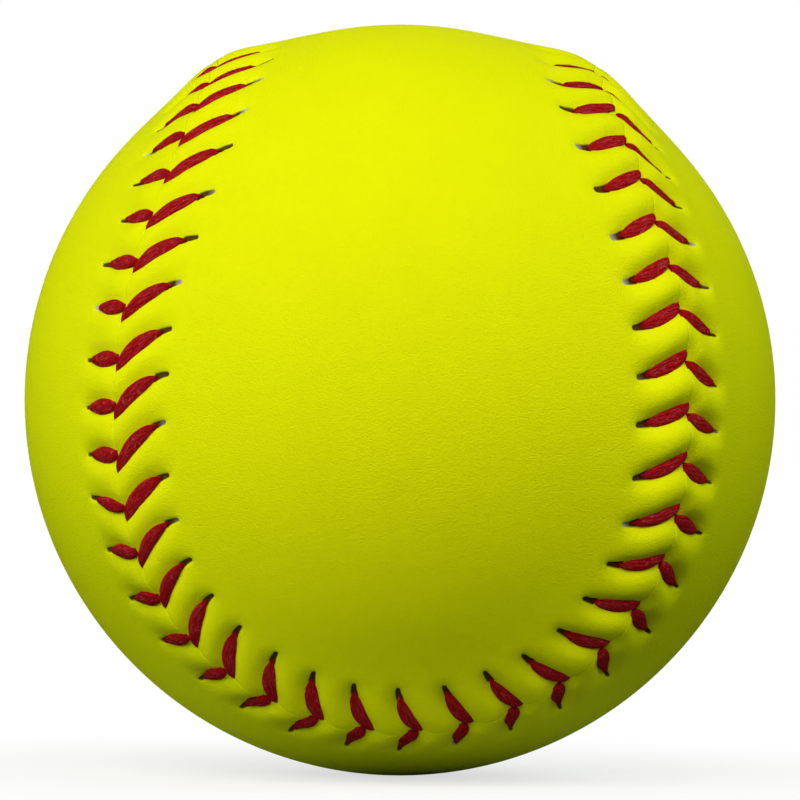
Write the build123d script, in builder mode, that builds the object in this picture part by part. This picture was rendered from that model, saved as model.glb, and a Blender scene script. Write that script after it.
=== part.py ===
"""Softball: a moulded core under two figure-eight cover panels, laced together with two threads.

The seam is drawn on the ball as four lobe arcs joined by four straight runs. Every other place is
given by three numbers: how far along the seam, how far beside it (positive on the front panel),
and how high above the smooth cover.
"""
import math
import os

from build123d import *

os.makedirs("parts", exist_ok=True)

# Ball, in millimetres
ball_circumference = 279.4
cover_thickness = 1.8
cement_film = 0.1
ball_radius = ball_circumference / (2 * math.pi)
panel_inside = ball_radius - cover_thickness

# Seam, in degrees
lobe_drop = 18.0      # from the middle of a panel's end down to the centre of its lobe arc
run_lean = 5.0        # of a straight run, from upright
ball_tilt = 6.0       # the front lobe faces this far upwards, and the ball rests on bare cover

# Raised lips of the panels, measured from the seam
lip_width = 8.6
lip_crest = 2.6
lip_height = 1.05
lip_edge_height = 0.15
seam_gap = 0.9
lip_underside = -0.25  # height of the lip's underside at the seam

lip_outline = [
    (seam_gap / 2, lip_edge_height),
    ((seam_gap / 2 + lip_crest) / 2, lip_height - (lip_height - lip_edge_height) / 5),
    (lip_crest, lip_height),
    (lip_width, 0),
]

# Needle holes and lacing
stations = 84
lacing_start = 0.4    # along the seam, from the front lobe's foot to the first station
lacing_drift = 0.8    # all stations slip along the straight runs by this much
hole_offset = 5.7
hole_length = 1.9
hole_width = 1.1
hole_drift = 1.2      # facing holes slip past each other by this much on the straight runs
side_lead = 0.8       # the side panel's holes lie this much ahead of the front panel's
stitch_slant = 3.75   # along the seam, from a front hole to where its stitch dives
dive_spacing = 1.6    # the facing stitch dives this much sooner
thread_width = 1.9    # of a stitch at its fullest
thread_height = 0.9
thread_core = 0.75    # where the thread is pulled thin, in a hole or the seam
thread_lift = 0.12    # clearance of a stitch over the lip

# Slope of a thread, outwards for each step sideways
rise_slope = 1.3      # in a hole
dive_slope = -0.6     # over the seam
turn_slope = -0.5     # under the seam

LOBES = 4


def on_ball(x, y, z, quarter=0):
    """A direction from the ball's centre, carried from the front lobe to a later one."""
    for _ in range(quarter):
        x, y, z = -y, x, -z
    return Vector(x, y, z).rotate(Axis.X, -ball_tilt)


# Lobe arc and straight run of the front right quarter, as unit directions
drop, lean = math.radians(lobe_drop), math.radians(run_lean)
lobe_angle = math.asin(
    math.cos(lean) * math.cos(drop) / math.sqrt(2) + math.sin(lean) * math.sin(drop)
)
lobe_reach = drop + lobe_angle
lobe_centre = (0, -math.cos(drop), -math.sin(drop))
run_side = (-math.cos(lean) / math.sqrt(2), -math.cos(lean) / math.sqrt(2), -math.sin(lean))
lobe_end = [
    (centre - side * math.sin(lobe_angle)) / math.cos(lobe_angle)
    for centre, side in zip(lobe_centre, run_side)
]
lobe_start = [-lobe_end[0], lobe_end[1], lobe_end[2]]
lobe_foot = (0, -math.cos(lobe_reach), -math.sin(lobe_reach))
crossing = (math.sqrt(0.5), -math.sqrt(0.5), 0)

spans = []
with BuildLine() as seam:
    for lobe in range(LOBES):
        start, foot, end, middle, after = (
            ball_radius * on_ball(*point, quarter)
            for point, quarter in (
                (lobe_start, lobe),
                (lobe_foot, lobe),
                (lobe_end, lobe),
                (crossing, lobe),
                (lobe_start, lobe + 1),
            )
        )
        spans.append(ThreePointArc(start, foot, end))
        spans.append(ThreePointArc(end, middle, after))
seam_length = sum(span.length for span in spans)
stitch_pitch = seam_length / stations


def seam_frame(along):
    """The directions outwards, forwards and towards the front panel, from the front lobe's foot on."""
    left = (along + spans[0].length / 2) % seam_length
    for span in spans:
        if left <= span.length:
            break
        left -= span.length
    outwards = span.position_at(left / span.length).normalized()
    forwards = span.tangent_at(left / span.length)
    return outwards, forwards, outwards.cross(forwards)


def seam_point(along, beside, height):
    """The point at a distance along the seam, beside it and above the smooth cover."""
    outwards, _, sideways = seam_frame(along)
    angle = beside / ball_radius
    return (ball_radius + height) * (outwards * math.cos(angle) + sideways * math.sin(angle))


def across(beside, height):
    """The same place in a flat section square to the seam."""
    angle = beside / ball_radius
    return ((ball_radius + height) * math.sin(angle), (ball_radius + height) * math.cos(angle))


def section_plane(span):
    """The plane square to a span at its start, through the ball's centre, upright outwards."""
    return Plane(
        origin=(0, 0, 0),
        x_dir=span.position_at(0).cross(span.tangent_at(0)),
        z_dir=span.tangent_at(0),
    )


def sweep_span(span, mode):
    """Turns the pending section about the span's own axis, from its start to its end."""
    spoke = span.position_at(0) - span.arc_center
    revolve(
        axis=Axis((0, 0, 0), spoke.cross(span.tangent_at(0))),
        revolution_arc=math.degrees(span.length / span.radius),
        mode=mode,
    )


def station_along(station, drift):
    """Where a station lies along the seam. The drift comes and goes twice round the ball."""
    even = lacing_start + station * stitch_pitch
    return even + drift * math.sin(4 * math.pi * even / seam_length)


def hole_along(station, side):
    """Where a hole of the front panel (side 1) or the side panel (side -1) lies along the seam."""
    lead = 0 if side > 0 else side_lead
    return station_along(station, lacing_drift + side * hole_drift) + lead


def dive_along(station, side):
    """Where the stitch from that hole dives into the seam."""
    early = 0 if side > 0 else dive_spacing
    return station_along(station, lacing_drift) + stitch_slant - early


def lip_top(beside):
    """Height of a lip's outer slope, which is straight from its foot to its crest."""
    return lip_height * (lip_width - abs(beside)) / (lip_width - lip_crest)


def hole_plane(station, side):
    """The plane of a needle hole on the smooth ball, with x along its stitch."""
    here = seam_point(hole_along(station, side), side * hole_offset, 0)
    ahead = seam_point(dive_along(station, side), 0, 0)
    return Plane(origin=here, x_dir=ahead - here, z_dir=here)


# Core
with BuildPart() as core:
    Sphere(panel_inside - cement_film)

# Cover: a shell with a raised band along the seam, parted by the seam and punched for the needles
with BuildPart() as cover:
    Sphere(ball_radius)
    for span in spans:
        with BuildSketch(section_plane(span)):
            with BuildLine():
                Polyline(
                    *(across(beside, height) for beside, height in lip_outline),
                    *(across(-beside, height) for beside, height in reversed(lip_outline)),
                    close=True,
                )
            make_face()
        sweep_span(span, Mode.ADD)
    Sphere(panel_inside, mode=Mode.SUBTRACT)
    for span in spans:
        with BuildSketch(section_plane(span)):
            with BuildLine():
                Polyline(
                    across(lip_width, -cover_thickness),
                    across(seam_gap / 2, lip_underside),
                    across(seam_gap / 2, 2 * lip_height),
                    across(-seam_gap / 2, 2 * lip_height),
                    across(-seam_gap / 2, lip_underside),
                    across(-lip_width, -cover_thickness),
                    close=True,
                )
            make_face()
        sweep_span(span, Mode.SUBTRACT)
    with Locations(*(hole_plane(i, side) for i in range(stations) for side in (1, -1))):
        Box(hole_length, hole_width, 4 * cover_thickness, mode=Mode.SUBTRACT)

panels = cover.part.solids().sort_by(lambda solid: solid.bounding_box().size.X)
with BuildPart() as front_panel:
    add(panels[0])
with BuildPart() as side_panel:
    add(panels[1])


def thread_path(first_side):
    """Places along a thread: station, where, width, height, and heading sideways and outwards."""
    under_hole = -cover_thickness + thread_core / 4
    over_hole = lip_top(hole_offset) + thread_lift + thread_core / 2
    over_crest = lip_height + thread_lift + thread_height / 2
    over_seam = lip_edge_height + thread_height
    under_seam = lip_underside - thread_height
    for station in range(stations):
        side = first_side if station % 2 == 0 else -first_side
        hole, dive = hole_along(station, side), dive_along(station, side)
        half_way = (hole + dive) / 2
        beside = side * hole_offset
        for where, width, thickness, heading in (
            ((hole, beside, under_hole), thread_core, thread_core / 2, (side, rise_slope)),
            ((hole, beside, over_hole), thread_core, thread_core, (-side, rise_slope)),
            ((half_way, beside / 2, over_crest), thread_width, thread_height, (-side, 0)),
            ((dive, 0, over_seam), thread_core, thread_core, (-side, dive_slope)),
            ((dive, 0, under_seam), thread_core, thread_core, (-side, turn_slope)),
        ):
            yield half_way, where, width, thickness, heading


def thread_sections(first_side):
    """Four-sided sections of a thread, square to its heading and level along the seam."""
    for half_way, where, width, thickness, (aside, upwards) in thread_path(first_side):
        outwards, forwards, sideways = seam_frame(half_way)
        plane = Plane(
            origin=seam_point(*where),
            x_dir=forwards,
            z_dir=sideways * aside + outwards * upwards,
        )
        with BuildSketch(plane) as section:
            Rectangle(width, thickness)
        yield section.sketch


def thread_runs(first_side):
    """Runs that meet face to face: up through each hole, then over, down and on to the next hole."""
    sections = list(thread_sections(first_side))
    places = len(sections) // stations
    for hole in range(0, len(sections), places):
        yield loft(sections[hole : hole + 2], ruled=True, mode=Mode.PRIVATE)
        yield loft(sections[hole + 1 : hole + places + 1], ruled=True, mode=Mode.PRIVATE)


# Threads: each takes a front hole and a side hole in turn, opposite to the other thread
with BuildPart() as first_thread:
    add(list(thread_runs(1)))
with BuildPart() as second_thread:
    add(list(thread_runs(-1)))

for name, piece in (
    ("core", core),
    ("front_panel", front_panel),
    ("side_panel", side_panel),
    ("first_thread", first_thread),
    ("second_thread", second_thread),
):
    piece.part.label = name
    export_step(piece.part, f"parts/{name}.step")
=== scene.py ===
"""Softball: a grained yellow cover, laced along its raised seam with crimson yarn, in a pale studio.

A place on the ball is given by three lengths in millimetres: along the seam from the foot of the front
lobe, beside it (positive on the front panel) and above the smooth cover. Functions for one panel take its
sign and the distance away from the seam instead.
"""

import bmesh
import bpy
import numpy as np
from mathutils import Matrix, Vector


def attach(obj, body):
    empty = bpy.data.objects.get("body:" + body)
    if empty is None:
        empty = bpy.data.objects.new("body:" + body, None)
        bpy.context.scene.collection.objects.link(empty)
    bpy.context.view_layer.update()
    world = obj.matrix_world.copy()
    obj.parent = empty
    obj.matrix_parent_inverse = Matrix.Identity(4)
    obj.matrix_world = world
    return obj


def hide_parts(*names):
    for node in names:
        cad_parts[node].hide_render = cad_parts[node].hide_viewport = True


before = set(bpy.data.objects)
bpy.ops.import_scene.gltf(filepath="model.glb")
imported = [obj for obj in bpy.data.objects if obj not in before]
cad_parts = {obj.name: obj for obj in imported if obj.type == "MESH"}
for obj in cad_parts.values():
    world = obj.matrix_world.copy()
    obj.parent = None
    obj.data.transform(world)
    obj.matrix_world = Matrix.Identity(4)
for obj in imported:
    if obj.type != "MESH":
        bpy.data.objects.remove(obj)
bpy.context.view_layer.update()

# The two panels, as the sign of a place beside the seam
FRONT, SIDE = 1, -1

# Ball and drawn seam: four lobe arcs joined by four straight runs
BALL = 279.4 / (2 * np.pi)
LOBE_DROP = np.radians(18.0)             # from the middle of a panel's end to the centre of its lobe arc
RUN_LEAN = np.radians(5.0)               # of a straight run, from upright
TILT = np.radians(6.0)                   # of the whole ball, so that the front lobe faces upwards
LOBE_ANGLE = np.arcsin(
    np.cos(RUN_LEAN) * np.cos(LOBE_DROP) / np.sqrt(2) + np.sin(RUN_LEAN) * np.sin(LOBE_DROP)
)
LOBE_CENTRE = np.array((0, -np.cos(LOBE_DROP), -np.sin(LOBE_DROP)))
LOBE_DOWN = np.array((0, np.sin(LOBE_DROP), -np.cos(LOBE_DROP)))
LOBE_RIGHT = np.array((1.0, 0, 0))
RUN_POLE = -np.array((np.cos(RUN_LEAN) / np.sqrt(2), np.cos(RUN_LEAN) / np.sqrt(2), np.sin(RUN_LEAN)))
LOBE_END = (LOBE_CENTRE - RUN_POLE * np.sin(LOBE_ANGLE)) / np.cos(LOBE_ANGLE)
LOBE_SWEEP = np.arctan2(LOBE_END @ LOBE_RIGHT, LOBE_END @ LOBE_DOWN)
RUN_HALF = np.arccos(LOBE_END @ np.array((np.sqrt(0.5), -np.sqrt(0.5), 0)))
LOBE_HALF = BALL * np.sin(LOBE_ANGLE) * LOBE_SWEEP
QUARTER = 2 * (LOBE_HALF + BALL * RUN_HALF)
SEAM = 4 * QUARTER

# Sewn seam, which lies a little to the side panel's side of the drawn one
SEAM_SHIFT = 0.35
SHIFT_DRIFT = 0.25                       # added at the front panel's lobes, taken off at the side panel's

# Raised lips, with the shares by which their sizes follow the drift wave
RIDGE = 1.5
RIDGE_DRIFT = 0.30
LIP_SPREAD = 6.4
SPREAD_DRIFT = 0.20
LIP_FOOT = 14.0                          # where a lip has all but run out into the smooth cover
LIP_EDGE = 0.15                          # radius of the edge in the crease
CREASE_DEPTH = 0.9
CREASE_GAP = 0.015                       # between the seam and either lip

# How the stitches draw the lips in
PILLOW = 0.48                            # depth of the dip between two pillows
PILLOW_POWER = 1.3
SEAT = 0.55                              # depth of the hollow that the yarn lies in
SEAT_SPREAD = 1.25
DRAW_PAST = 1.6                          # from a hole's tip outwards to where the draw begins
DRAW_FULL = 3.4                          # from a hole's tip inwards to where it is full
DRAW_SHARED = 2.4                        # from the seam to where the other lip's draw begins to count

# Stitches, from even places along the seam
STITCHES = 84
PITCH = SEAM / STITCHES
START = 0.38
LEAD = {FRONT: 0.0, SIDE: 0.8}           # of a hole from its even place
HOLE_DRIFT = {FRONT: 2.01, SIDE: -0.35}  # of a hole with the drift wave
HOLE_SLIP = {FRONT: 0.0, SIDE: 0.70}     # of a hole against the lobe wave
SLANT = {FRONT: 3.1, SIDE: 2.0}          # of the dive into the seam from the even place
DIVE_DRIFT = 0.80
DIVE_SLIP = 0.48
BEND = {FRONT: 1.7, SIDE: 1.25}          # power by which a stitch bends on its way to the seam
HOLE_TIP = {FRONT: 7.3, SIDE: 6.63}      # from the seam to the outer tip of a hole

# Needle holes: slots that lead from their tip in under the yarn
SLOT_LENGTH = 2.5
SLOT_ENDS = 0.29, 0.52                   # radius at the tip and at the other end
SLOT_PINCH = {FRONT: 1.0, SIDE: 1.45}    # how many times narrower the slots really are
SLOT_DRIFT = {FRONT: 0.08, SIDE: -0.12}  # share by which the pinch goes against the drift wave
SLOT_DEPTH = 0.3
SLOT_WALL = 0.2                          # half the width over which the cover falls into a slot
SLOT_RIM = 0.16                          # width over which its colour changes
LIT_PALENESS_DRIFT = 0.9                         # painted light: more paleness at the side panel's lobes, at the top of the ball, less at the front's
PALE_FROM = 0.6                          # paleness above which a slot shows its pale backing and painted light
PALE_REACH = 1.3                         # how far in from the tip the pale backing and painted light reach

# Yarn. Shares are of the way from a hole's tip to the seam
YARN_WIDTH = {FRONT: 1.85, SIDE: 1.9}
YARN_HEIGHT = 0.85
YARN_LIFT = 0.22                         # of the middle line over its seat
YARN_START = {FRONT: 0.20, SIDE: 0.11}   # share at which a leg begins, inside its slot
HOLE_SINK, SINK_SHARE = 0.5, 0.14        # depth of that beginning, and the share in which the leg rises
SEAM_DIP, DIP_SHARES = 0.15, (0.85, 1.0)
SEAM_DIVE, DIVE_SHARES = 1.6, (0.99, 1.06)
TURN_SHARES = 0.5, 1.0                   # where the sections turn to lie along the seam
LEAF = {FRONT: 0.8, SIDE: 1.175}         # power that moves the widest place along a leg
LOBE_LEAF = {FRONT: 0.0, SIDE: 0.175}    # how that power follows the lobe wave
LEAF_LENGTH = 1.05
LEAF_ROUNDNESS = 0.7                     # power of the width that gives the height

# Loose fibres on a leg, as limits between which each is drawn
FIBRES = 28
FIBRE_PLACE = 0.32, 0.88                 # share at the middle of a fibre
FIBRE_LENGTH = 0.10, 0.22                # in shares
FIBRE_TURN = 0.02, 0.98                  # place round the upper side of the leg, in half turns
FIBRE_DRIFT = -0.8, 0.8                  # turn from end to end, in radians
FIBRE_BOW = 0.025, 0.15                  # how far its ends stand off
FIBRE_LIFT = 0.03
FIBRE_HALF_WIDTH = 0.028                 # in radians round the leg

# Fineness of the meshes
COLUMNS_PER_STITCH = 20
EDGE_ROWS, LIP_ROWS, FOOT_ROWS, MIDDLE_ROWS = 6, 28, 7, 13
LEG_ROWS, LEG_SIDES = 13, 14
LEG_EVEN_END = 0.97                      # share at the last of a leg's even rows
LEG_ENDS = 1.0, 1.025, 1.06              # shares at the rows after it, where the leg dives
FIBRE_ROWS = 4
MERGE_DISTANCE = 2e-7                    # in metres
ARC_TOLERANCE = 1e-6

# Unevenness of handwork: chance numbers for each stitch, and what they amount to
HOLE_STRAY = 0.22
DIVE_STRAY = 0.16
TIP_STRAY = 0.22
DRAW_STRAY = 0.12
WIDTH_STRAY = 0.07
UNEVEN_FEATURES = "hole", "dive", "fullness", "tip", "paleness"
chance = np.random.default_rng(20)
UNEVEN = {
    side: dict(zip(UNEVEN_FEATURES, chance.normal(0, 1, (len(UNEVEN_FEATURES), STITCHES)).clip(-2, 2)))
    for side in (FRONT, SIDE)
}

# Colours, some as two shades that are mixed
COVER_YELLOWS = (0.755, 0.835, 0.002, 1), (0.80, 0.885, 0.002, 1)
COVER_SHEEN = 1.0, 1.0, 0.1, 1
# Painted shade: dark brown for the shadow inside a needle hole
HOLE_SHADE_BROWN = 0.09, 0.045, 0.008, 1
# Pale backing in some holes, also painted light in holes towards the top of the ball
HOLE_BACKING_AND_LIGHT = 0.58, 0.55, 0.40, 1
YARN_CRIMSONS = (0.155, 0.002, 0.003, 1), (0.70, 0.010, 0.017, 1)
# Pink for loose fibres, and for the painted highlight flecks that stand in for glints on the wax
FIBRE_AND_GLINT_PINK = 0.84, 0.12, 0.14, 1
FOAM_BEIGES = (0.46, 0.43, 0.36, 1), (0.58, 0.55, 0.48, 1)
FLOOR_SEEN = 0.95, 0.95, 0.95, 1
FLOOR_DIM = 0.04, 0.05, 0.05, 1
FLOOR_UNDER_BALL = 0.30, 0.33, 0.32, 1
SURROUND_WHITE = 1, 1, 1, 1
SURROUND_DIM = 0.80, 1.0, 0.9, 1
LAMP_WARM = 1.0, 0.87, 0.87
LAMP_COOL = 0.92, 1.0, 0.96
LAMP_FILL = 0.70, 1.0, 0.92
LAMP_BACK = 0.95, 1.0, 0.95

# Patterns of the finishes: noise scales for each metre, and reliefs in metres
GRAIN_SCALE, GRAIN_RELIEF = 5200.0, 0.00016
MOTTLE_SCALE = 160.0
BACKING_AND_LIGHT_SCALE = 1500.0
# Painted highlight flecks on the yarn
GLINT_FLECK_SCALE, GLINT_FLECK_FROM = 1900.0, 0.60
FLUFF_SCALE = 3500.0
YARN_RELIEF = 0.00025
CELL_SCALE, CELL_RELIEF = 900.0, 0.0004

# Fibres and plies on a leg, by its marks
LIE_SCALE = 1.7
LIE_FINENESS = 9.0                       # how much finer the fibres' noise is across a leg than along it
LIE_SLANT = 1.9
LIE_STEP = 7.3                           # from one leg's noise to the next one's
PLY_COUNT = 1.9                          # waves from the middle of a leg to its edge
PLY_SLANT = 0.42                         # waves for each millimetre along it
PLY_WAVER = 0.8
LOOSE_MARK = 2.0                         # mark across that tells loose fibres from legs, which reach 1
LOOSE_FROM = 1.2

# Studio, in metres
FLOOR_RADIUS = 0.9
FLOOR_SIDES = 96
WHITE_SHARE = 0.72                       # of plain white in what the camera sees of the floor
WHITE_FROM = 0.02                        # distance from the middle where that share is met
WHITE_GROWTH = 0.24                      # distance in which it would grow by one
UNDER_BALL = 0.055                       # radius of the brighter floor that other rays meet
UNDER_BALL_FADE = 0.02
SURROUND_STRENGTH = 0.03
LAMP_SIZE = 0.8
LAMP_DISTANCE = 1.0

# Camera, in ball radii, degrees and millimetres of sensor
CAMERA_DISTANCE = 15.0
CAMERA_ELEVATION = -0.34
CAMERA_ROLL = 0.92
CAMERA_SENSOR = 36.0
BALL_IN_PICTURE = 375.5 / 800            # the ball's radius as a share of the picture's width


def mm(points):
    """Millimetres to metres."""
    return points * 0.001


def ease(low, high, value):
    """Nought at low and before it, one at high and past it, and a smooth cubic between them."""
    share = np.clip((value - low) / (high - low), 0, 1)
    return share * share * (3 - 2 * share)


def between(limits, share):
    """A number between two limits, by a share."""
    return limits[0] + (limits[1] - limits[0]) * share


def drift_wave(along):
    """A sine twice round the seam.

    It is 1 half way along the front right run and the run opposite, and -1 half way along the other two.
    """
    return np.sin(4 * np.pi * along / SEAM)


def panel_wave(along):
    """A cosine twice round the seam: 1 at the feet of the front panel's lobes, -1 at the side panel's."""
    return np.cos(4 * np.pi * along / SEAM)


def lobe_wave(along):
    """A cosine four times round the seam: 1 at the foot of every lobe, -1 half way between two of them."""
    return np.cos(8 * np.pi * along / SEAM)


def uneven(feature, stitch, side):
    """The chance number of a stitch for one of its features, from -2 to 2."""
    return UNEVEN[side][feature][stitch % STITCHES]


def seam_shift(along):
    """How far the sewn seam lies from the drawn one, towards the side panel."""
    return SEAM_SHIFT + SHIFT_DRIFT * panel_wave(along)


def seam_frame(along):
    """Directions outwards, forwards and towards the front panel, before the ball is tilted.

    A quarter of the seam is a lobe's arc with half a straight run at either end. Its left half mirrors its
    right half, and each quarter is the one before, turned a right angle and put upside down.
    """
    quarter = np.floor(along / QUARTER + 0.5)
    local = along - quarter * QUARTER
    hand = np.where(local < 0, -1.0, 1.0)[..., None]
    turn = (np.minimum(np.abs(local), LOBE_HALF) / (BALL * np.sin(LOBE_ANGLE)))[..., None]
    run = (np.maximum(np.abs(local) - LOBE_HALF, 0) / BALL)[..., None]
    rim = np.cos(turn) * LOBE_DOWN + np.sin(turn) * LOBE_RIGHT
    place = np.cos(LOBE_ANGLE) * LOBE_CENTRE + np.sin(LOBE_ANGLE) * rim
    ahead = np.cos(turn) * LOBE_RIGHT - np.sin(turn) * LOBE_DOWN
    outwards = place * np.cos(run) + ahead * np.sin(run)
    outwards = outwards * np.concatenate((hand, hand**2, hand**2), -1)
    forwards = ahead * np.cos(run) - place * np.sin(run)
    forwards = forwards * np.concatenate((hand**2, hand, hand), -1)
    outwards, forwards = (turn_quarters(vectors, quarter) for vectors in (outwards, forwards))
    return outwards, forwards, np.cross(outwards, forwards)


def turn_quarters(vectors, quarter):
    """Right-angle turns about the upright axis, upside down at every odd one."""
    cosine, sine = np.cos(quarter * np.pi / 2), np.sin(quarter * np.pi / 2)
    x, y, z = np.moveaxis(vectors, -1, 0)
    return np.stack((cosine * x - sine * y, sine * x + cosine * y, z * np.cos(quarter * np.pi)), -1)


def on_ball(along, beside, height):
    """The point at a distance along the sewn seam, beside it and above the cover, on the tilted ball."""
    outwards, _, sideways = seam_frame(along)
    angle = ((beside - seam_shift(along)) / BALL)[..., None]
    points = (BALL + height)[..., None] * (outwards * np.cos(angle) + sideways * np.sin(angle))
    x, y, z = np.moveaxis(points, -1, 0)
    cosine, sine = np.cos(TILT), np.sin(TILT)
    return np.stack((x, y * cosine + z * sine, z * cosine - y * sine), -1)


def stitch_drift(along, side):
    """How far a hole and its dive lie from their even place: a set length and a share of two waves."""
    wave, lobe = drift_wave(along), lobe_wave(along)
    hole = LEAD[side] + HOLE_DRIFT[side] * wave - HOLE_SLIP[side] * lobe
    dive = SLANT[side] + DIVE_DRIFT * wave - DIVE_SLIP * lobe
    return hole, dive


def stitch_ends(stitch, side):
    """Where a stitch's hole and its dive lie along the seam, with a little chance in each."""
    even = START + stitch * PITCH
    hole, dive = stitch_drift(even, side)
    hole = even + hole + HOLE_STRAY * uneven("hole", stitch, side)
    dive = even + dive + DIVE_STRAY * uneven("dive", stitch, side)
    return hole, dive


def stitch_line(stitch, side, share):
    """Where a stitch's middle line lies along the seam, and its slope along for each step towards the seam.

    The share is 0 at the tip of the hole and 1 at the dive, and the line bends as a power of it.
    """
    hole, dive = stitch_ends(stitch, side)
    slope = (dive - hole) * BEND[side] * share ** (BEND[side] - 1) / HOLE_TIP[side]
    return hole + (dive - hole) * share ** BEND[side], slope


def nearest_stitch(along, away, side):
    """The stitch whose line passes nearest, and how far off it is along the seam and square to the line.

    Which stitch it is comes from the even places and their drift, and how far off from its own line.
    """
    share = np.clip(1 - away / HOLE_TIP[side], 0, None)
    bent = share ** BEND[side]
    hole, dive = stitch_drift(along, side)
    middle = START + hole * (1 - bent) + dive * bent
    stitch = np.round((along - middle) / PITCH).astype(int)
    middle, slope = stitch_line(stitch, side, share)
    return stitch, along - middle, (along - middle) / np.sqrt(1 + slope**2)


def stitch_draw(along, away, side):
    """How far the stitches draw a lip in.

    That is a power of a raised cosine along the seam, for the pillows, and a narrow bell across each stitch,
    for the yarn's seat. Both fade out past the needle holes.
    """
    stitch, offset, across = nearest_stitch(along, away, side)
    pillow = PILLOW * (0.5 + 0.5 * np.cos(2 * np.pi * offset / PITCH)) ** PILLOW_POWER
    seat = SEAT * np.exp(-((across / SEAT_SPREAD) ** 2))
    strength = 1 + DRAW_STRAY * uneven("fullness", stitch, side)
    return (pillow + seat) * strength * ease(HOLE_TIP[side] + DRAW_PAST, HOLE_TIP[side] - DRAW_FULL, away)


def lip_height(along, away, side):
    """Height of a lip: a bell across the seam, less what the stitches draw in, so it stands up in pillows.

    Its height and its spread follow the drift wave. Towards the seam the draw is shared with the other lip,
    so both meet at one height, and there the edge is rounded over by a quarter circle.
    """
    shared = 0.5 * ease(DRAW_SHARED, 0, away)
    draw = stitch_draw(along, away, side) * (1 - shared) + stitch_draw(along, 0 * away, -side) * shared
    inside = np.clip(LIP_EDGE - away, 0, None)
    rounded = LIP_EDGE - np.sqrt(np.clip(LIP_EDGE**2 - inside**2, 0, None))
    wave = drift_wave(along)
    spread = LIP_SPREAD * (1 + SPREAD_DRIFT * wave)
    return (1 + RIDGE_DRIFT * wave) * (RIDGE * np.exp(-((away / spread) ** 2)) - draw) - rounded


def slot_place(along, away, side):
    """Distance in from the tip of the nearest needle hole, distance across its slot, and its paleness."""
    stitch, _, across = nearest_stitch(along, away, side)
    inwards = HOLE_TIP[side] + TIP_STRAY * uneven("tip", stitch, side) - away
    pinch = SLOT_PINCH[side] * (1 - SLOT_DRIFT[side] * drift_wave(along))
    # Paleness is chance, for the backing, plus painted light that grows towards the top of the ball
    paleness = uneven("paleness", stitch, side) - LIT_PALENESS_DRIFT * panel_wave(along)
    return np.stack((inwards, pinch * np.abs(across), paleness), -1)


def slot_edge(needle):
    """Distance outside the outline of a needle hole, negative inside it: a slot narrowing to a round tip."""
    radius = between(SLOT_ENDS, np.clip(needle[..., 0] / SLOT_LENGTH, 0, 1))
    straight = np.clip(np.abs(needle[..., 0] - SLOT_LENGTH / 2) - SLOT_LENGTH / 2 + radius, 0, None)
    return np.hypot(straight, needle[..., 1]) - radius


def make_mesh(name, points, faces, attributes, material):
    """A smooth mesh at the origin, with doubles merged and normals outwards."""
    mesh = bpy.data.meshes.new(name)
    mesh.from_pydata(points.reshape(-1, 3).tolist(), [], faces.reshape(-1, 4).tolist())
    for label, values in attributes.items():
        layer = mesh.attributes.new(label, "FLOAT_VECTOR", "POINT")
        layer.data.foreach_set("vector", values.astype(np.float32).ravel())
    work = bmesh.new()
    work.from_mesh(mesh)
    bmesh.ops.remove_doubles(work, verts=work.verts, dist=MERGE_DISTANCE)
    bmesh.ops.recalc_face_normals(work, faces=work.faces)
    work.to_mesh(mesh)
    work.free()
    mesh.polygons.foreach_set("use_smooth", np.ones(len(mesh.polygons), bool))
    mesh.materials.append(material)
    piece = bpy.data.objects.new(name, mesh)
    bpy.context.scene.collection.objects.link(piece)
    return piece


def grid_faces(rows, columns, wrap):
    """Corner numbers of a grid's quads, row by row. Wrapped, the last column closes on the first."""
    across = columns if wrap else columns - 1
    row, column = np.meshgrid(np.arange(rows - 1), np.arange(across), indexing="ij")
    after = (column + 1) % columns
    corners = (row * columns + column, row * columns + after)
    return np.stack((*corners, corners[1] + columns, corners[0] + columns), -1).reshape(-1, 4)


def panel_reach(along, side):
    """How far a panel reaches from the seam: to the centre of its lobe, or else to the plane that halves it.

    The plane square to x halves the front panel, and the one square to y the side panel.
    """
    outwards, _, sideways = seam_frame(along)
    axis = 0 if side == FRONT else 1
    distance, approach = outwards[:, axis], -side * sideways[:, axis]
    to_plane = np.arctan2(np.abs(distance), approach * np.sign(distance))
    quarter = np.floor(along / QUARTER + 0.5)
    on_arc = np.abs(along - quarter * QUARTER) <= LOBE_HALF + ARC_TOLERANCE
    own_lobe = on_arc & (quarter % 2 == axis)
    return BALL * np.where(own_lobe, LOBE_ANGLE, to_plane) + side * seam_shift(along)


def cover_panel(name, side, material):
    """A cover panel: columns square to the seam, from deep in the crease to the panel's middle line.

    Rows are close together over the lip and grow apart over the smooth middle, which lies on the ball. The
    needle holes are sunk into the lip with an eased wall.
    """
    columns = COLUMNS_PER_STITCH * STITCHES
    along = np.arange(columns) * SEAM / columns
    edge = LIP_EDGE * (1 - np.cos(np.linspace(0, np.pi / 2, EDGE_ROWS)))
    crest = np.linspace(LIP_EDGE, HOLE_TIP[side] + DRAW_PAST, LIP_ROWS)
    foot = np.linspace(crest[-1], LIP_FOOT, FOOT_ROWS)
    lip = np.concatenate(([0.0], edge, crest[1:], foot[1:]))
    share = np.linspace(0, 1, MIDDLE_ROWS)[1:, None]
    middle = LIP_FOOT + (panel_reach(along, side) - LIP_FOOT) * share
    away = np.concatenate((np.repeat(lip[:, None], columns, 1), middle))
    along = np.broadcast_to(along, away.shape)
    needle = slot_place(along, away, side)
    height = lip_height(along, away, side)
    height = height - SLOT_DEPTH * ease(SLOT_WALL, -SLOT_WALL, slot_edge(needle))
    height[0] -= CREASE_DEPTH
    away[1:] += CREASE_GAP
    points = mm(on_ball(along, side * away, height))
    return make_mesh(name, points, grid_faces(*away.shape, True), {"needle": needle}, material)


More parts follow.
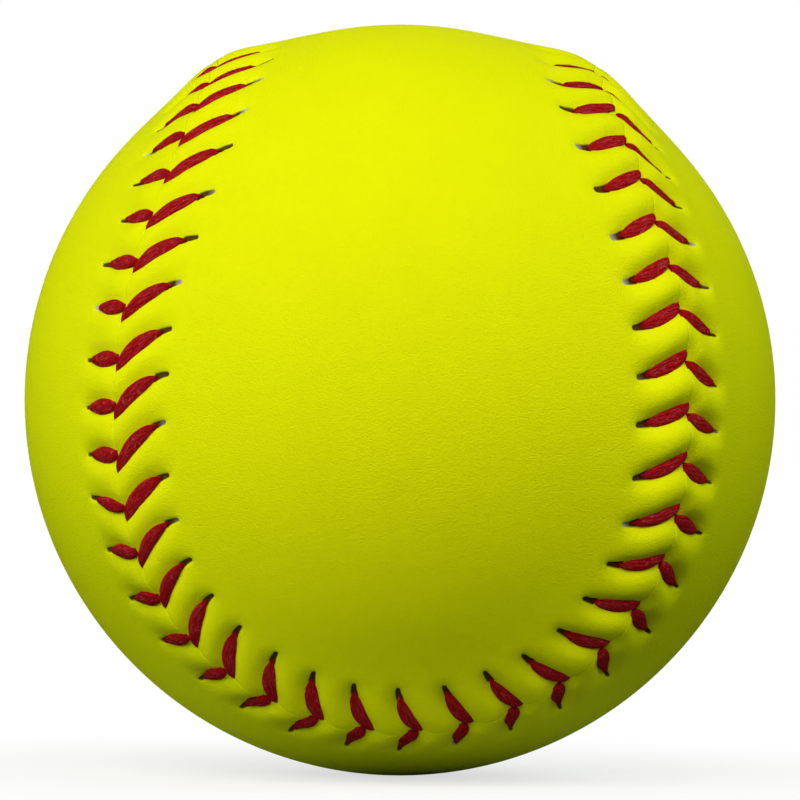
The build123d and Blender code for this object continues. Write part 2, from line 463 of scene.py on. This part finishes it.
def yarn_surface(stitch, side, share, angle, lift):
    """Points round a stitch leg: a leaf-shaped tube of elliptical section, from a hole to deep in the seam.

    The middle line follows the seat in the lip, rises out of the hole and dives at the seam. The width is
    the sine of a power of the share, and the height a power of that sine. Sections lie square to the leg at
    the hole and turn to lie along the seam where the leg dives, so that it ends in a slant point.
    """
    along, slope = stitch_line(stitch, side, share)
    away = HOLE_TIP[side] * (1 - share)
    height = lip_height(along, np.abs(away).clip(LIP_EDGE), side) + YARN_LIFT
    height = height - HOLE_SINK * ease(YARN_START[side] + SINK_SHARE, YARN_START[side], share)
    height = height - SEAM_DIP * ease(*DIP_SHARES, share) - SEAM_DIVE * ease(*DIVE_SHARES, share)
    power = LEAF[side] + LOBE_LEAF[side] * lobe_wave(START + stitch * PITCH)
    leaf = np.sin(np.pi * ((share - YARN_START[side]) / LEAF_LENGTH) ** power)
    turned = ease(*TURN_SHARES, share)
    steep = np.sqrt(1 + slope**2)
    forwards, outwards = turned + (1 - turned) / steep, (1 - turned) * slope / steep
    fullness = 1 + WIDTH_STRAY * uneven("fullness", stitch, side)
    across = YARN_WIDTH[side] / 2 * leaf * fullness * np.cos(angle)
    across = across * steep / (forwards + outwards * slope)
    raised = YARN_HEIGHT / 2 * leaf**LEAF_ROUNDNESS * np.sin(angle) + lift
    return mm(on_ball(along + forwards * across, side * (away + outwards * across), height + raised))


def yarn_legs(side, stitches):
    """Stitch legs, with marks on each point: across the leg, down its length, and a number for each leg."""
    share = np.concatenate((np.linspace(YARN_START[side], LEG_EVEN_END, LEG_ROWS), LEG_ENDS))
    angle = np.arange(LEG_SIDES) * 2 * np.pi / LEG_SIDES
    stitch, share, angle = np.broadcast_arrays(stitches[:, None, None], share[:, None], angle)
    points = yarn_surface(stitch, side, share, angle, 0.0)
    number = stitch + 0.5 * (side == FRONT)
    return points, np.stack((np.cos(angle), share * HOLE_TIP[side], number), -1)


def yarn_fuzz(side, stitches):
    """Loose fibres over the legs: narrow ribbons that drift round a leg and bow away from it at both ends.

    They are marked as the legs are, with a mark of their own for across.
    """
    start, turn, length, drift, bow = chance.random((5, len(stitches), FIBRES, 1, 1))
    step = np.linspace(-0.5, 0.5, FIBRE_ROWS)[:, None]
    share = between(FIBRE_PLACE, start) + between(FIBRE_LENGTH, length) * step
    angle = np.pi * between(FIBRE_TURN, turn) + between(FIBRE_DRIFT, drift) * step
    angle = angle + np.array((-FIBRE_HALF_WIDTH, FIBRE_HALF_WIDTH))
    lift = FIBRE_LIFT + between(FIBRE_BOW, bow**2) * (2 * step) ** 2
    stitch, share, angle, lift = np.broadcast_arrays(stitches[:, None, None, None], share, angle, lift)
    points = yarn_surface(stitch, side, share, angle, lift)
    return points, np.stack((LOOSE_MARK + 0 * share, share * HOLE_TIP[side], stitch + turn), -1)


def lacing(name, first_side, material):
    """A thread: legs and their fuzz, on the first side at even stitches and on the other at odd ones."""
    points, marks, faces, count = [], [], [], 0
    for side, first in ((first_side, 0), (-first_side, 1)):
        stitches = np.arange(first, STITCHES, 2)
        for make, wrap in ((yarn_legs, True), (yarn_fuzz, False)):
            strands, mark = make(side, stitches)
            rows, columns = strands.shape[-3:-1]
            starts = np.arange(count, count + strands.size // 3, rows * columns)
            faces.append((grid_faces(rows, columns, wrap) + starts[:, None, None]).reshape(-1, 4))
            points.append(strands.reshape(-1, 3))
            marks.append(mark.reshape(-1, 3))
            count += strands.size // 3
    points, marks, faces = (np.concatenate(values) for values in (points, marks, faces))
    return make_mesh(name, points, faces, {"yarn": marks}, material)


class Value:
    """A number on a shader socket. Arithmetic with it adds Math nodes."""

    def __init__(self, finish, socket):
        self.finish, self.socket = finish, socket

    def math(self, operation, *values, clamp=False):
        settings = {"operation": operation, "use_clamp": clamp}
        return self.finish.node("Math", settings, dict(enumerate(values)))

    def __add__(self, other):
        return self.math("ADD", self, other)

    def __sub__(self, other):
        return self.math("SUBTRACT", self, other)

    def __rsub__(self, other):
        return self.math("SUBTRACT", other, self)

    def __mul__(self, other):
        return self.math("MULTIPLY", self, other)

    def __truediv__(self, other):
        return self.math("DIVIDE", self, other)

    def __pow__(self, other):
        return self.math("POWER", self, other)

    def __abs__(self):
        return self.math("ABSOLUTE", self)

    def sine(self):
        return self.math("SINE", self)

    def at_least(self, other):
        return self.math("MAXIMUM", self, other)

    def clamped(self):
        return self.math("ADD", self, 0.0, clamp=True)

    __radd__ = __add__
    __rmul__ = __mul__


class Finish:
    """A material or other node tree under construction."""

    def __init__(self, tree):
        self.tree = tree
        self.tree.nodes.clear()

    def node(self, kind, settings, sockets, output=0):
        """One output of a node of any type, with its settings and the values or links of its sockets."""
        made = self.tree.nodes.new("ShaderNode" + kind)
        for label, setting in settings.items():
            setattr(made, label, setting)
        for label, value in sockets.items():
            if isinstance(value, Value):
                self.tree.links.new(value.socket, made.inputs[label])
            else:
                made.inputs[label].default_value = value
        return Value(self, made.outputs[output]) if made.outputs else made

    def place(self):
        """Object coordinates, in metres."""
        return self.node("TexCoord", {}, {}, "Object")

    def parts(self, vector):
        """The three numbers of a vector."""
        return [self.node("SeparateXYZ", {}, {0: vector}, axis) for axis in range(3)]

    def marks(self, label):
        """The three numbers of a mesh attribute."""
        return self.parts(self.node("Attribute", {"attribute_name": label}, {}, "Vector"))

    def noise(self, vector, scale, detail=2.0):
        """Smooth noise from nought to one."""
        return self.node("TexNoise", {}, {"Vector": vector, "Scale": scale, "Detail": detail})

    def mix(self, share, first, second):
        """A colour between two, by a share."""
        return self.node("Mix", {"data_type": "RGBA"}, {0: share, 6: first, 7: second}, 2)

    def mix_shader(self, share, first, second):
        """A shader between two, by a share."""
        return self.node("MixShader", {}, {0: share, 1: first, 2: second})

    def camera_ray(self):
        """One for what the camera sees directly, nought for all other rays."""
        return self.node("LightPath", {}, {}, "Is Camera Ray")

    def bump(self, height, strength, distance):
        """Normals of a surface that a height from nought to one raises by a distance in metres."""
        return self.node("Bump", {}, {"Strength": strength, "Distance": distance, "Height": height})

    def principled(self, sockets):
        """Ends the tree in a shader for solid surfaces."""
        self.surface(self.node("BsdfPrincipled", {}, sockets))

    def surface(self, shader, kind="OutputMaterial"):
        """Ends the tree in any shader."""
        self.node(kind, {}, {"Surface": shader})


def new_material(name):
    """A material and its empty node tree."""
    material = bpy.data.materials.new(name)
    material.use_nodes = True
    return material, Finish(material.node_tree)


def cover_finish():
    """Optic-yellow synthetic leather: fine grain, faint mottling and needle holes in painted dark shade.

    A hole has the outline of slot_edge, and its dark brown is painted shade. In some, pale backing shows
    near the tip in noisy patches, and painted light makes more of them pale towards the top of the ball.
    """
    material, f = new_material("yellow_cover")
    place = f.place()
    inwards, across, paleness = f.marks("needle")
    radius = between(SLOT_ENDS, (inwards / SLOT_LENGTH).clamped())
    straight = (abs(inwards - SLOT_LENGTH / 2) - SLOT_LENGTH / 2 + radius).at_least(0.0)
    # Share of the painted dark shade inside a needle hole, with a soft rim
    hole = (0.5 - ((straight**2.0 + across**2.0) ** 0.5 - radius) / SLOT_RIM).clamped()
    grain = f.noise(place, GRAIN_SCALE)
    mottle = f.noise(place, MOTTLE_SCALE, detail=4.0)
    shown = ((paleness - PALE_FROM) * 2.0).clamped() * (PALE_REACH - inwards).clamped()
    # Pale patches in the holes: real backing, and painted light near the top of the ball
    backing_and_light = (shown * (f.noise(place, BACKING_AND_LIGHT_SCALE) * 1.6)).clamped()
    yellow = f.mix(mottle, *COVER_YELLOWS)
    f.principled(
        {
            "Base Color": f.mix(hole, yellow, f.mix(backing_and_light, HOLE_SHADE_BROWN, HOLE_BACKING_AND_LIGHT)),
            "Roughness": 0.5 + 0.1 * mottle + 0.3 * hole,
            "Specular IOR Level": 0.01,
            "Specular Tint": COVER_SHEEN,
            "Normal": f.bump(grain, 0.7, GRAIN_RELIEF),
        }
    )
    return material


def yarn_finish():
    """Waxed crimson yarn: stretched noise for the fibres along each leg, and a sine for slanting plies.

    Flecks of painted highlight, for glints on the wax, come from fine noise, and loose fibres are paler.
    """
    material, f = new_material("crimson_yarn")
    place = f.place()
    across, down, number = f.marks("yarn")
    loose = (across - LOOSE_FROM).clamped()
    slanted = across * LIE_FINENESS + down * LIE_SLANT
    lie = f.node("CombineXYZ", {}, {0: slanted, 1: down, 2: number * LIE_STEP})
    fibres = ((f.noise(lie, LIE_SCALE, detail=4.0) - 0.5) * 2.4 + 0.5).clamped()
    waves = across * PLY_COUNT + down * PLY_SLANT + fibres * PLY_WAVER
    plies = (waves * (2 * np.pi)).sine() * 0.5 + 0.5
    # Painted highlight: flecks that stand in for glints on the waxed yarn
    glint_flecks = ((f.noise(place, GLINT_FLECK_SCALE) - GLINT_FLECK_FROM) * 7.0).clamped()
    crimson = f.mix(fibres * 0.75 + plies * 0.25, *YARN_CRIMSONS)
    relief = fibres * 0.7 + plies * 0.35 + 0.35 * f.noise(place, FLUFF_SCALE)
    f.principled(
        {
            "Base Color": f.mix((glint_flecks * 0.45 + loose * 0.4).clamped(), crimson, FIBRE_AND_GLINT_PINK),
            "Roughness": 0.65 + 0.25 * fibres,
            "Specular IOR Level": 0.03,
            "Normal": f.bump(relief, 0.8, YARN_RELIEF),
        }
    )
    return material


def core_finish():
    """Moulded foam: a matt skin with small closed cells, from noise."""
    material, f = new_material("foam_core")
    cells = f.noise(f.place(), CELL_SCALE, detail=4.0)
    f.principled(
        {
            "Base Color": f.mix(cells, *FOAM_BEIGES),
            "Roughness": 0.6 + 0.2 * cells,
            "Normal": f.bump(cells, 0.4, CELL_RELIEF),
        }
    )
    return material


def floor_finish():
    """A pale floor with the ball's shadow, which the camera sees go over into plain white further out.

    Other rays meet a dim floor, a little brighter under the ball, so that it throws little light back up.
    """
    material, f = new_material("pale_floor")
    x, y, _ = f.parts(f.place())
    distance = (x**2.0 + y**2.0) ** 0.5
    far = (WHITE_SHARE + (distance - WHITE_FROM) / WHITE_GROWTH).clamped()
    near = ((UNDER_BALL - distance) / UNDER_BALL_FADE).clamped()
    white = f.node("Emission", {}, {"Strength": 1.0})
    pale, dim, lit = (
        f.node("BsdfDiffuse", {}, {"Color": colour}) for colour in (FLOOR_SEEN, FLOOR_DIM, FLOOR_UNDER_BALL)
    )
    seen, unseen = f.mix_shader(far, pale, white), f.mix_shader(near, dim, lit)
    f.surface(f.mix_shader(f.camera_ray(), unseen, seen))
    return material


def studio_floor():
    """A level disc that the ball rests on."""
    mesh = bpy.data.meshes.new("floor")
    angle = np.linspace(0, 2 * np.pi, FLOOR_SIDES, endpoint=False)
    level = np.full(FLOOR_SIDES, -mm(BALL))
    rim = np.stack((FLOOR_RADIUS * np.cos(angle), FLOOR_RADIUS * np.sin(angle), level), -1)
    mesh.from_pydata(rim.tolist(), [], [list(range(FLOOR_SIDES))])
    mesh.materials.append(floor_finish())
    floor = bpy.data.objects.new("floor", mesh)
    bpy.context.scene.collection.objects.link(floor)


def studio_world():
    """White behind everything, and a dim light from all round that fills the shadows."""
    world = bpy.data.worlds.new("studio")
    world.use_nodes = True
    bpy.context.scene.world = world
    f = Finish(world.node_tree)
    white = f.node("Background", {}, {"Color": SURROUND_WHITE, "Strength": 1.0})
    dim = f.node("Background", {}, {"Color": SURROUND_DIM, "Strength": SURROUND_STRENGTH})
    f.surface(f.mix_shader(f.camera_ray(), dim, white), "OutputWorld")


def facing_ball(data, azimuth, elevation, distance):
    """An object that faces the ball's centre, by degrees round from the front, degrees up and metres off."""
    azimuth, elevation = np.radians((azimuth, elevation))
    level = np.cos(elevation)
    outwards = np.array((np.sin(azimuth) * level, -np.cos(azimuth) * level, np.sin(elevation)))
    place = Vector(distance * outwards)
    holder = bpy.data.objects.new(data.name, data)
    holder.matrix_world = Matrix.Translation(place) @ (-place).to_track_quat("-Z", "Y").to_matrix().to_4x4()
    bpy.context.scene.collection.objects.link(holder)
    return holder


def studio_light(name, azimuth, elevation, watts, colour):
    """A soft square lamp that faces the ball."""
    lamp = bpy.data.lights.new(name, "AREA")
    lamp.size, lamp.energy, lamp.color = LAMP_SIZE, watts, colour
    return facing_ball(lamp, azimuth, elevation, LAMP_DISTANCE)


def photo_camera():
    """The photograph's view: a long lens about level with the ball, with a slight roll."""
    camera = bpy.data.cameras.new("camera")
    camera.sensor_width = CAMERA_SENSOR
    camera.lens = CAMERA_SENSOR * BALL_IN_PICTURE * np.sqrt(CAMERA_DISTANCE**2 - 1)
    holder = facing_ball(camera, 0, CAMERA_ELEVATION, mm(CAMERA_DISTANCE * BALL))
    holder.matrix_world = holder.matrix_world @ Matrix.Rotation(np.radians(CAMERA_ROLL), 4, "Z")
    bpy.context.scene.camera = holder


cover, yarn = cover_finish(), yarn_finish()
pieces = (
    (cover_panel("front_cover", FRONT, cover), "front_panel", "cover"),
    (cover_panel("side_cover", SIDE, cover), "side_panel", "cover"),
    (lacing("first_lacing", FRONT, yarn), "first_thread", "thread"),
    (lacing("second_lacing", SIDE, yarn), "second_thread", "thread"),
)
for piece, node, slot in pieces:
    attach(piece, "root")
    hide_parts(node)
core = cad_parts["core"]
core.data.materials.clear()
core.data.materials.append(core_finish())

photo_camera()
studio_floor()
studio_world()
studio_light("key", azimuth=-15, elevation=34, watts=9.1, colour=LAMP_WARM)
studio_light("left", azimuth=-84.5, elevation=5, watts=5.5, colour=LAMP_COOL)
studio_light("right", azimuth=81, elevation=34, watts=4.9, colour=LAMP_COOL)
studio_light("front", azimuth=-20, elevation=2, watts=2.1, colour=LAMP_FILL)
back = studio_light("back", azimuth=180, elevation=10, watts=5.0, colour=LAMP_BACK)
back.visible_glossy = False
bpy.context.scene.view_settings.view_transform = "Standard"
